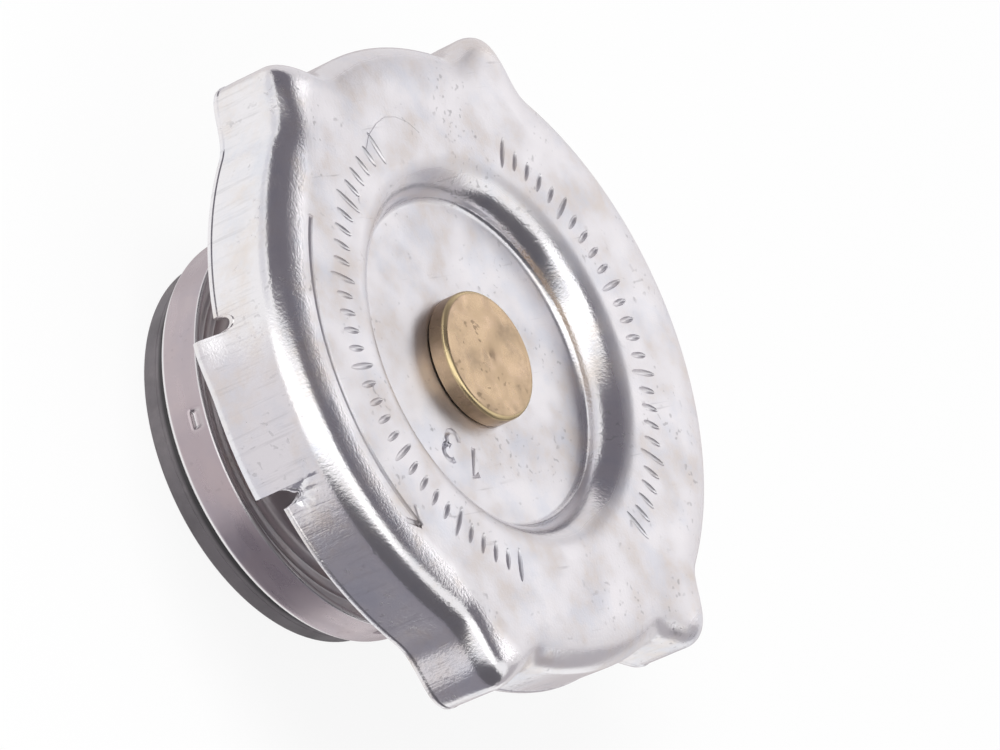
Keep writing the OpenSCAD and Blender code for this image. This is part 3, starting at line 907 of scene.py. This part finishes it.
# %% Rivet
head_r, head_top, head_low = 6.65, 27.0, 24.8
shank_r, tail_r, tail_top, tail_low, tail_bend = 3.2, 4.7, 22.6, 21.5, 0.55
rivet_outline = [(0.0, head_top - 0.16), (0.3, head_top - 0.14), (0.75, head_top - 0.05)]
rivet_outline += [(1.2, head_top - 0.03)]
for r in np.arange(1.5, 5.7, 0.3):
    rivet_outline.append((float(r), head_top - 0.03 + 0.012 * math.sin(r * 9)))
rivet_outline += arc((head_r - 0.5, head_top - 0.5), 0.5, 90, 0, 8)
rivet_outline += [(head_r, head_low + 0.25), (head_r - 0.25, head_low), (shank_r, head_low)]
rivet_outline += [(shank_r, tail_top), (tail_r, tail_top)]
rivet_outline += arc((tail_r - tail_bend, tail_top - tail_bend), tail_bend, 0, -90, 6) + [(0.0, tail_low)]
# the rounded rim of the head gets a painted highlight in brass's golden shine colour
head_edge = {i: 1.0 for i, (r, z) in enumerate(rivet_outline)
             if r > head_r - 0.35 and z > head_top - 0.45}
rivet = lathe("swivel_rivet", rivet_outline, wear_and_light=head_edge)
rivet.data.materials.append(brass)
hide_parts("rivet")
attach(rivet, "carrier")
print("rivet:", len(rivet.data.polygons), "faces")

# %% [markdown]
# ## Cup, gasket and bell
# The pressed valve cup, the moulded gasket and the bell are turned pieces as well. The cup's wall
# carries four staking dents, which hold the bell's flange. They are pressed into the turned wall by a
# rule of the angle and the height. The corners of the cup are bright from wear and get a painted
# highlight, so their rows are marked; the gasket's side under the cup gets painted shade.

# %% Valve cup
cup_r, cup_t, cup_low, cup_rim, cup_bend = 21.0, 0.6, 3.1, 7.95, 0.9
inner_r, cup_floor = cup_r - cup_t, cup_low + cup_t
cup_bore, rim_round = 6.0, 0.2
stake_low, stake_deep, stake_top = 6.0, 6.3, 7.5
cup_mid = (cup_r - cup_bend, cup_low + cup_bend)
cup_outline = [(cup_bore, cup_low), (12, cup_low), (18.6, cup_low)] + arc(cup_mid, cup_bend, -90, 0, 10)
# rows in the middle of the lower bend are bright from wear and get a painted highlight
cup_wear_and_highlight = {7: 0.6, 8: 1.0, 9: 1.0, 10: 1.0, 11: 0.7}
wall_heights = steps_to(cup_mid[1], stake_low, 6) + steps_to(stake_low, stake_deep, 5)
wall_heights += steps_to(stake_deep, stake_top, 10) + [cup_rim - 0.25]
cup_outline += [(cup_r, z) for z in wall_heights]
rim_rows = arc((cup_r - rim_round, cup_rim - rim_round), rim_round, 0, 90, 4)
# the rounded rim gets a painted highlight as well
cup_wear_and_highlight.update({len(cup_outline) + i: 0.6 for i in range(len(rim_rows))})
cup_outline += rim_rows + arc((inner_r + rim_round, cup_rim - rim_round), rim_round, 90, 180, 4)
cup_outline += [(inner_r, 7.3), (inner_r, 6.7), (inner_r, stake_low)]
cup_outline += arc(cup_mid, cup_bend - cup_t, 0, -90, 5) + [(12, cup_floor), (cup_bore, cup_floor)]


def stake_dents(mesh, first_deg, count, depth):
    """Presses dents into the wall, deepest low down, where the tongue was cut free, and paints a highlight
    on each cut in the edge_wear_and_painted_light mark.
    """
    p = points_mm(mesh)
    radius, z = np.hypot(p[:, 0], p[:, 1]), p[:, 2]
    half_gap = 180 / count
    angle = np.degrees(np.arctan2(p[:, 1], p[:, 0]))
    turn = (angle - first_deg + half_gap) % (360 / count) - half_gap
    side = np.clip((1.0 - np.abs(np.radians(turn)) * cup_r) / 0.16, 0, 1)
    rise = np.interp(z, [stake_low, 6.18, stake_deep, stake_top], [0, 1, 1, 0])
    dimple = 0.1 * np.exp(-(np.radians(turn) * cup_r / 1.5) ** 2 - ((z - stake_deep) / 0.9) ** 2)
    inwards = (depth * side * rise + dimple) * (radius > inner_r - 0.05)
    p[:, :2] *= (1 - inwards / np.maximum(radius, 1e-6))[:, None]
    set_points_mm(mesh, p)
    edge = mesh.attributes["edge_wear_and_painted_light"].data
    shine = np.empty(len(edge), np.float32)
    edge.foreach_get("value", shine)
    # painted highlight on the outer face of each dent
    cut_highlight = 0.7 * side * rise * (radius > inner_r + 0.1)
    edge.foreach_set("value", np.maximum(shine, cut_highlight).astype(np.float32))


cup = lathe("staked_cup", cup_outline, 720, 35, cup_wear_and_highlight)
stake_dents(cup.data, -9.0, 4, 0.4)
cup.data.materials.append(tinned_cup)
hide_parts("valve_cup")
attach(cup, "pressure_valve")
print("cup:", len(cup.data.polygons), "faces")

# %% Gasket
gasket_r, gasket_t, gasket_bore, seal_r, web_z = 19.8, 3.1, 6.0, 14.0, 1.75
inner_round, low_round, top_round, painted_shade_from = 0.4, 0.45, 0.5, 1.95
gasket_outline = [(gasket_bore, web_z), (10, web_z), (seal_r - 0.3, web_z), (seal_r, web_z - 0.3)]
gasket_outline += [(seal_r, inner_round)]
gasket_outline += arc((seal_r + inner_round, inner_round), inner_round, 180, 270, 5)
gasket_outline += [(15.5, 0), (17, 0), (18.5, 0)]
gasket_outline += arc((gasket_r - low_round, low_round), low_round, -90, 0, 7)
# the moulding line is a small step in the wall
gasket_outline += [(gasket_r, 1.2), (gasket_r, 1.6), (gasket_r - 0.06, 1.68)]
gasket_outline += [(gasket_r, z) for z in (1.76, painted_shade_from, 2.1, 2.3)]
gasket_outline += arc((gasket_r - top_round, gasket_t - top_round), top_round, 0, 90, 7)
gasket_outline += [(15, gasket_t), (10, gasket_t), (gasket_bore, gasket_t)]
# the side just below the cup's overhanging edge gets painted shade, deepest towards the top
corner = {i: min(1.0, (z - painted_shade_from) / 0.3) for i, (r, z) in enumerate(gasket_outline)
          if r > 18.5 and z > painted_shade_from}
gasket = lathe("sealing_gasket", gasket_outline, 256, wear_and_light=corner)
gasket.data.materials.append(gasket_rubber)
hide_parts("pressure_gasket")
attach(gasket, "pressure_valve")
print("gasket:", len(gasket.data.polygons), "faces")


# %% Bell
def bead(middle, half, low, height):
    """Points of a raised ring, as half a wave."""
    shares = (-1, -0.6, -0.3, 0, 0.3, 0.6, 1)
    return [(middle + half * u, low + height * (1 + math.cos(math.pi * u)) / 2) for u in shares]


bell_t, bell_top, bell_bore, crown_r, step_r = 0.7, 23.3, 3.22, 10.6, 14.6
flange_r, flange_top, step_top = 19.9, 6.2, 12.4
crown_bend, step_bend, foot_bend = 1.6, 1.2, 1.0
crown_mid = (crown_r - crown_bend, bell_top - crown_bend)
crown_foot = (crown_r + 1.5, step_top + 1)
step_mid = (step_r - step_bend, step_top - step_bend)
step_foot = (step_r + 1.5, flange_top + 1)
bell_outline = [(bell_bore, bell_top)] + arc(crown_mid, crown_bend, 90, 0, 8)
bell_outline += arc(crown_foot, foot_bend, 180, 270, 6) + arc(step_mid, step_bend, 90, 0, 7)
bell_outline += arc(step_foot, foot_bend, 180, 270, 6)
bell_painted_highlight = {}
for bead_r in (17.1, 18.4):
    ring = bead(bead_r, 0.5, flange_top, 0.3)
    # the crest of each bead gets a painted highlight
    bell_painted_highlight[len(bell_outline) + len(ring) // 2] = 1.0
    bell_outline += ring
bell_outline += [(flange_r - 0.15, flange_top), (flange_r, flange_top - 0.15)]
bell_outline += [(flange_r, flange_top - bell_t), (17, flange_top - bell_t)]
bell_outline += arc(step_foot, foot_bend + bell_t, 270, 180, 6)
bell_outline += arc(step_mid, step_bend - bell_t, 0, 90, 5)
bell_outline += arc(crown_foot, foot_bend + bell_t, 270, 180, 6)
bell_outline += arc(crown_mid, crown_bend - bell_t, 0, 90, 6) + [(bell_bore, bell_top - bell_t)]
bell = lathe("beaded_bell", bell_outline, 192, 40, bell_painted_highlight)
bell.data.materials.append(bell_steel)
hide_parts("bell")
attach(bell, "carrier")
print("bell:", len(bell.data.polygons), "faces")

# %% [markdown]
# ## The two coils
# A coil spring is a wire wound by a rule: it climbs evenly between two end turns that lie nearly flat. A
# Geometry Nodes tree bends a straight line by that rule and sweeps a round wire along it, and both
# springs come from that one tree. A real spring shortens when its valve moves. Here each coil only rides
# with its fixed end and keeps its length.


# %% The winding rule
def coil_tree():
    tree, start, end = new_geometry_tree("wound_coil", (
        ("Coil Radius", 8.3), ("Wire", 1.5), ("Turns", 6.0), ("Low", 3.75), ("High", 22.6),
        ("Steps", 240.0)), with_geometry=False)
    size, slow = start.outputs, 0.4
    along = tree.nodes.new("GeometryNodeSplineParameter").outputs["Factor"]
    end_turn = math_node(tree, "DIVIDE", 1.0, size["Turns"])
    last_from = math_node(tree, "SUBTRACT", 1.0, end_turn)
    # the climb is slow in the first turn, even in the middle and slow again in the last turn
    first = math_node(tree, "MINIMUM", along, end_turn)
    middle = math_node(tree, "MAXIMUM", math_node(tree, "MINIMUM", along, last_from), end_turn)
    middle = math_node(tree, "SUBTRACT", middle, end_turn)
    left = math_node(tree, "MINIMUM", math_node(tree, "SUBTRACT", 1.0, along), end_turn)
    flat = math_node(tree, "MULTIPLY", end_turn, slow)
    even = math_node(tree, "DIVIDE", math_node(tree, "MULTIPLY_ADD", flat, -2.0, 1.0),
                     math_node(tree, "MULTIPLY_ADD", end_turn, -2.0, 1.0))
    climb = math_node(tree, "MULTIPLY_ADD", middle, even, flat)
    for part, sign in ((first, slow), (left, -slow)):
        bent = math_node(tree, "DIVIDE", math_node(tree, "MULTIPLY", part, part), end_turn)
        climb = math_node(tree, "MULTIPLY_ADD", bent, sign, climb)
    rise = math_node(tree, "SUBTRACT", size["High"], size["Low"])
    rise = math_node(tree, "SUBTRACT", rise, size["Wire"])
    height = math_node(tree, "ADD", size["Low"], math_node(tree, "MULTIPLY", size["Wire"], 0.5))
    height = math_node(tree, "MULTIPLY_ADD", climb, rise, height)
    angle = math_node(tree, "MULTIPLY", math_node(tree, "MULTIPLY", along, size["Turns"]), 2 * math.pi)
    place = tree.nodes.new("ShaderNodeCombineXYZ")
    for axis, swing in (("X", "COSINE"), ("Y", "SINE")):
        out = math_node(tree, "MULTIPLY", size["Coil Radius"], math_node(tree, swing, angle))
        tree.links.new(math_node(tree, "MULTIPLY", out, MM), place.inputs[axis])
    tree.links.new(math_node(tree, "MULTIPLY", height, MM), place.inputs["Z"])
    line = tree.nodes.new("GeometryNodeCurvePrimitiveLine")
    divide = tree.nodes.new("GeometryNodeResampleCurve")
    wind = tree.nodes.new("GeometryNodeSetPosition")
    wire = tree.nodes.new("GeometryNodeCurvePrimitiveCircle")
    wire.inputs["Resolution"].default_value = 14
    sweep = tree.nodes.new("GeometryNodeCurveToMesh")
    sweep.inputs["Fill Caps"].default_value = True
    tree.links.new(line.outputs["Curve"], divide.inputs["Curve"])
    tree.links.new(size["Steps"], divide.inputs["Count"])
    tree.links.new(divide.outputs["Curve"], wind.inputs["Geometry"])
    tree.links.new(place.outputs[0], wind.inputs["Position"])
    tree.links.new(math_node(tree, "MULTIPLY", size["Wire"], 0.5 * MM), wire.inputs["Radius"])
    tree.links.new(wind.outputs["Geometry"], sweep.inputs["Curve"])
    tree.links.new(wire.outputs["Curve"], sweep.inputs["Profile Curve"])
    finish_tree(tree, sweep.outputs["Mesh"], start, end)
    return tree


coil_rule = coil_tree()
print("tree:", coil_rule.name)


# %% Wind both springs
def wound_coil(name, node, body, **values):
    piece = new_piece(name, bpy.data.meshes.new(name))
    run_tree(piece, coil_rule, Material=spring_wire, **values)
    mesh = plain_mesh(piece)
    mesh.name = name
    tidy_mesh(mesh, 60)
    coil = new_piece(name, mesh)
    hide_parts(node)
    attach(coil, body)
    return coil


main_low, main_high, lift = 3.75, 22.6, 1.5
main_coil = wound_coil("main_coil", "main_spring", "carrier", Coil_Radius=8.3, Wire=1.5, Turns=6.0,
                       Low=main_low, High=main_high, Steps=288.0)
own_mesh(main_coil)
light_low, light_high, drop = 4.2, 8.55, 1.2
light_coil = wound_coil("light_coil", "vacuum_spring", "pressure_valve", Coil_Radius=2.95, Wire=0.5,
                        Turns=5.0, Low=light_low, High=light_high, Steps=200.0)
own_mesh(light_coil)
for coil in (main_coil, light_coil):
    heights = [v.co.z / MM for v in coil.data.vertices]
    print(f"{coil.name}: {len(coil.data.polygons)} faces, from {min(heights):.2f} to {max(heights):.2f} mm")

# %% [markdown]
# ## The solids that stay
# The spring disc and the small parts of the valves already have the right shape. They keep their
# solids, and each gets the finish of its real metal or rubber.

# %% Finishes for the solids
finishes = {
    "spring_disc": spring_steel, "bell": bell_steel, "main_spring": spring_wire, "valve_cup": tinned_cup,
    "pressure_gasket": gasket_rubber, "gasket_retainer": retainer_metal, "vacuum_valve": valve_brass,
    "vacuum_seal": seal_rubber, "vacuum_spring": spring_wire, "vacuum_keeper": valve_brass,
    "shell": zinc_sheet, "rivet": brass}
for node, finish in finishes.items():
    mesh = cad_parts[node].data
    mesh.materials.clear()
    mesh.materials.append(finish)
print("finished solids:", len(finishes))

# %% [markdown]
# ## The studio
# Shiny metal shows the room more than itself. The cap lies in a white room with a few cards: a black
# one above and to one side, which draws the dark line along the rounded shoulder, a bright one before
# it, and grey ones. Cards are seen only in reflections, and there they stand in for the floor too. Each
# card is drawn as an outline round the point straight above, in degrees away from it, on a large dome.


# %% Floor and room
def seen_directly(tree):
    """1 for the camera, reflections and glass; 0 for rays that only carry light."""
    path = tree.nodes.new("ShaderNodeLightPath")
    seen = math_node(tree, "MAXIMUM", path.outputs["Is Camera Ray"], path.outputs["Is Glossy Ray"])
    return math_node(tree, "MAXIMUM", seen, path.outputs["Is Transmission Ray"])


def pale_room(tree, surface_out, shaded, share):
    """Looks white where it is seen directly, and keeps a share of the shaded surface."""
    white = tree.nodes.new("ShaderNodeEmission")
    white.inputs["Color"].default_value = (1, 1, 1, 1)
    blend = tree.nodes.new("ShaderNodeMixShader")
    tree.links.new(math_node(tree, "MULTIPLY", seen_directly(tree), 1 - share), blend.inputs[0])
    tree.links.new(shaded, blend.inputs[1])
    tree.links.new(white.outputs[0], blend.inputs[2])
    tree.links.new(blend.outputs[0], surface_out)


def make_floor():
    mesh = bpy.data.meshes.new("floor")
    mesh.from_pydata([(-6, -6, 0), (6, -6, 0), (6, 6, 0), (-6, 6, 0)], [], [(0, 1, 2, 3)])
    floor = new_piece("floor", mesh)
    material = bpy.data.materials.new("pale_floor")
    material.use_nodes = True
    tree = material.node_tree
    shader = tree.nodes["Principled BSDF"]
    shader.inputs["Base Color"].default_value = (0.92, 0.92, 0.92, 1)
    shader.inputs["Roughness"].default_value = 0.9
    pale_room(tree, tree.nodes["Material Output"].inputs["Surface"], shader.outputs[0], 0.12)
    mesh.materials.append(material)
    floor.visible_glossy = False


make_floor()
world = bpy.data.worlds.new("white_room")
scene.world = world
world.use_nodes = True
room = world.node_tree
room.nodes["Background"].inputs["Color"].default_value = (1, 1, 1, 1)
strength = math_node(room, "MULTIPLY_ADD", seen_directly(room), 0.5, 0.5)
room.links.new(strength, room.nodes["Background"].inputs["Strength"])
print("floor and room are white")

# %% Reflection cards
card_from, first_dome, dome_step = Vector((0, 0, 0.022)), 0.8, 0.02


def card_point(x, y, dome):
    """Where a direction x, y degrees away from straight up meets a dome round the cap, radius in m."""
    polar, around = math.radians(math.hypot(x, y)), math.atan2(y, x)
    flat = math.sin(polar)
    way = Vector((flat * math.cos(around), flat * math.sin(around), math.cos(polar)))
    return card_from + way * dome


def reflection_card(name, outline, glow, dome):
    bm = bmesh.new()
    bm.faces.new([bm.verts.new((x, y, 0)) for x, y in outline])
    bmesh.ops.triangulate(bm, faces=bm.faces)
    bmesh.ops.subdivide_edges(bm, edges=bm.edges, cuts=7, use_grid_fill=True)
    for v in bm.verts:
        v.co = card_point(v.co.x, v.co.y, dome)
    mesh = bpy.data.meshes.new(name)
    bm.to_mesh(mesh)
    bm.free()
    card = new_piece(name, mesh)
    material = bpy.data.materials.new(name)
    material.use_nodes = True
    shader = material.node_tree.nodes["Principled BSDF"]
    shader.inputs["Base Color"].default_value = (0, 0, 0, 1)
    shader.inputs["Specular IOR Level"].default_value = 0
    shader.inputs["Emission Color"].default_value = (*glow, 1)
    shader.inputs["Emission Strength"].default_value = 1.0
    mesh.materials.append(material)
    card.visible_camera = card.visible_diffuse = card.visible_shadow = card.visible_transmission = False


# the glow and the outline of each card; a card hides those after it
cards = {
    "black_card": ((0.175, 0.165, 0.19), [
        (-44, 2), (-33, 15), (-10, 20), (3, 8), (5, 1), (14, -14), (50, -36), (40, -52), (15, -72),
        (-4, -88), (-20, -86), (-34, -58), (-42, -38), (-45, -20)]),
    "upper_card": ((0.8, 0.78, 0.79), [
        (-37, -19), (-62, -21), (-63, -38), (-92, -66), (-118, -80), (-90, -115), (-30, -120),
        (-8, -92), (-20, -60)]),
    "bright_card": ((1.5, 1.5, 1.5), [
        (40, 15), (75, 22), (100, 16), (100, -15), (88, -46), (78, -40), (55, -20), (40, -8)]),
    "top_card": ((1.6, 1.6, 1.6), [
        (3, 27), (14, 31), (28, 28), (39, 14), (38, -8), (22, -8), (10, 2), (5, 14)]),
    "grey_card": ((0.13, 0.125, 0.14), [
        (0, 46), (14, 35), (30, 33), (55, 32), (95, 33), (88, 58), (70, 78), (40, 96), (0, 104),
        (-30, 96), (-38, 72), (-24, 52)]),
    "floor_card": ((0.27, 0.26, 0.295), [
        (95, 33), (99, 57), (111, 75), (90, 116), (45, 130), (0, 136), (-30, 120), (-30, 96),
        (0, 104), (40, 96), (70, 78), (88, 58)]),
    "near_card": ((0.8, 0.78, 0.8), [
        (104, 14), (100, 40), (99, 57), (111, 75), (128, 42), (136, 20), (134, -40), (112, -62),
        (96, -48), (102, -20)]),
    "side_card": ((0.8, 0.8, 0.83), [
        (-5, -90), (20, -80), (60, -45), (80, -52), (66, -72), (30, -92), (-10, -98)]),
    "back_card": ((1.48, 1.47, 1.47), [
        (-32, 12), (-34, 0), (-36, -24), (-62, -24), (-64, -10), (-60, 4)]),
    "far_card": ((0.85, 0.83, 0.84), [
        (-62, 14), (-64, -10), (-62, -40), (-92, -66), (-104, -25), (-104, 12), (-85, 22)]),
    "low_card": ((0.5, 0.48, 0.5), [
        (-48, 22), (-66, 20), (-76, 36), (-76, 64), (-66, 84), (-44, 94), (-32, 76), (-40, 48)]),
    "rim_card": ((0.75, 0.73, 0.74), [
        (-40, 16), (-38, 6), (-60, 4), (-63, 12), (-85, 20), (-104, 14), (-116, 38), (-95, 58),
        (-70, 60), (-50, 50), (-44, 24)]),
    "rear_card": ((0.62, 0.58, 0.59), [
        (-104, 12), (-104, -25), (-92, -66), (-118, -80), (-146, -30), (-144, 30), (-126, 66),
        (-104, 70), (-112, 40)])}
for i, (name, (glow, outline)) in enumerate(cards.items()):
    reflection_card(name, outline, glow, first_dome + dome_step * i)


# %% Soft lamps
lamp_aim = Vector((0, 0, 0.015))


def soft_lamp(name, place, size, power):
    light = bpy.data.lights.new(name, "AREA")
    light.shape, light.size, light.energy = "DISK", size, power
    lamp = new_piece(name, light)
    lamp.location = place
    lamp.rotation_euler = (lamp_aim - Vector(place)).to_track_quat("-Z", "Y").to_euler()
    lamp.visible_glossy = False


soft_lamp("key_lamp", (0.5, -0.6, 0.9), 0.7, 9.0)
soft_lamp("fill_lamp", (0.6, 0.7, 0.6), 0.9, 3.0)

# %% [markdown]
# ## The camera
# The photograph was taken from far away with a long lens, so its perspective is nearly flat. Three
# axes of the camera, written in the cap's own frame, give the tilt and the roll of the picture.

# %% Camera
right = Vector((-0.55220578, 0.3433174, 0.75973808))
up = Vector((-0.10070994, -0.93207191, 0.34799348))
back = Vector((0.82760274, 0.11565084, 0.54927097))
lens = bpy.data.cameras.new("photo_camera")
lens.sensor_width, lens.lens, lens.clip_end = 36.0, 432.0, 50.0
camera = new_piece("photo_camera", lens)
stand = Vector((0.95210652, 0.13527996, 0.65919741))
camera.matrix_world = Matrix.Translation(stand) @ Matrix((right, up, back)).transposed().to_4x4()
scene.camera = camera
scene.view_settings.view_transform = "Standard"
print("camera", round(camera.location.length, 3), "m away")
